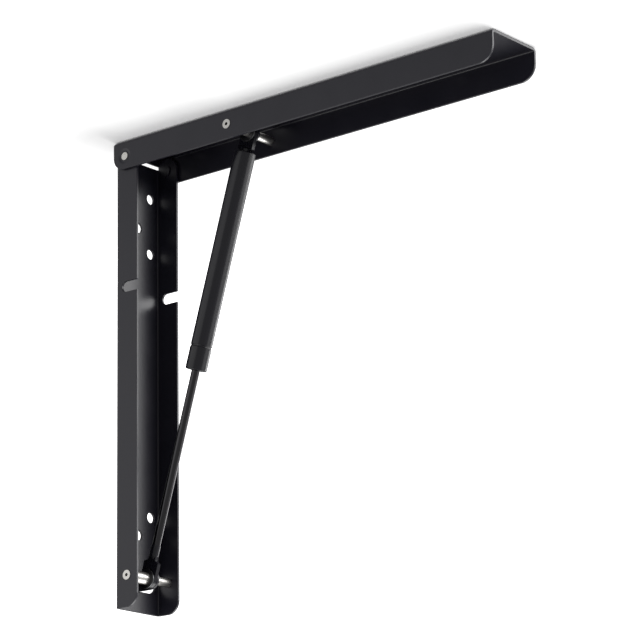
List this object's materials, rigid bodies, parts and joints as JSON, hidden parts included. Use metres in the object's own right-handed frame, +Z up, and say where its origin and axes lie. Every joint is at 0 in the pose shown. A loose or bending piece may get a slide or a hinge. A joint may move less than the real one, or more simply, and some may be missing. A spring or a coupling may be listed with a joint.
{
  "type": "folding shelf bracket",
  "caption": "Folding shelf bracket: a level channel arm hinged on a wall channel and propped by a gas strut, which folds down flat along the wall.",
  "frame": {"origin": "on the wall plane, midway across the bracket, level with the hinge axis", "axes": "+X out from the wall along the open arm, +Y across the bracket along the hinge axis, +Z up"},
  "size_m": [0.348, 0.0522, 0.3507],
  "materials": {
    "powder_coat": "black powder coat, low sheen",
    "strut_paint": "smooth black paint, satin",
    "bright_steel": "bright zinc plate",
    "rod_steel": "dark nitrided and polished",
    "dark_washer": "dark phosphate",
    "seal_rubber": "matt black",
    "guide_brass": "turned"
  },
  "bodies": {
    "wall": {"wall_channel": "powder_coat", "hinge_rivet_left": "bright_steel", "hinge_rivet_right": "bright_steel", "lower_pin_left": "bright_steel", "lower_pin_right": "bright_steel", "lower_spacer": "bright_steel", "lower_washer": "dark_washer"},
    "arm": {"arm_channel": "powder_coat", "upper_pin": "bright_steel", "upper_washer": "dark_washer"},
    "cylinder": {"cylinder_tube": "strut_paint", "cylinder_plug": "bright_steel", "upper_eye": "strut_paint", "rod_guide": "guide_brass", "rod_seal": "seal_rubber", "seal_washer": "bright_steel"},
    "rod": {"piston_rod": "rod_steel", "piston": "bright_steel", "piston_ring": "seal_rubber", "piston_nut": "bright_steel", "lower_eye": "strut_paint", "lower_eye_pin": "bright_steel"}
  },
  "joints": [
    {"name": "arm_fold", "type": "hinge", "parent": "wall", "child": "arm", "pos_m": [0.011, 0, 0], "axis": [0, 1, 0], "range_deg": [0, 90], "stiffness_Nm_per_rad": 0.6, "springref_deg": -126.05},
    {"name": "upper_pivot", "type": "hinge", "parent": "arm", "child": "cylinder", "pos_m": [0.1113, 0, 0.001], "axis": [0, 1, 0], "range_deg": [-107.39, 0]},
    {"name": "rod_slide", "type": "slide", "parent": "cylinder", "child": "rod", "axis": [0.3009, 0, 0.9537], "range_m": [0, 0.11668]}
  ],
  "couplings": [
    {"joint": "upper_pivot", "follows": "arm_fold", "ratio": -1.1931},
    {"joint": "rod_slide", "follows": "arm_fold", "m_per_rad": 0.074275}
  ]
}
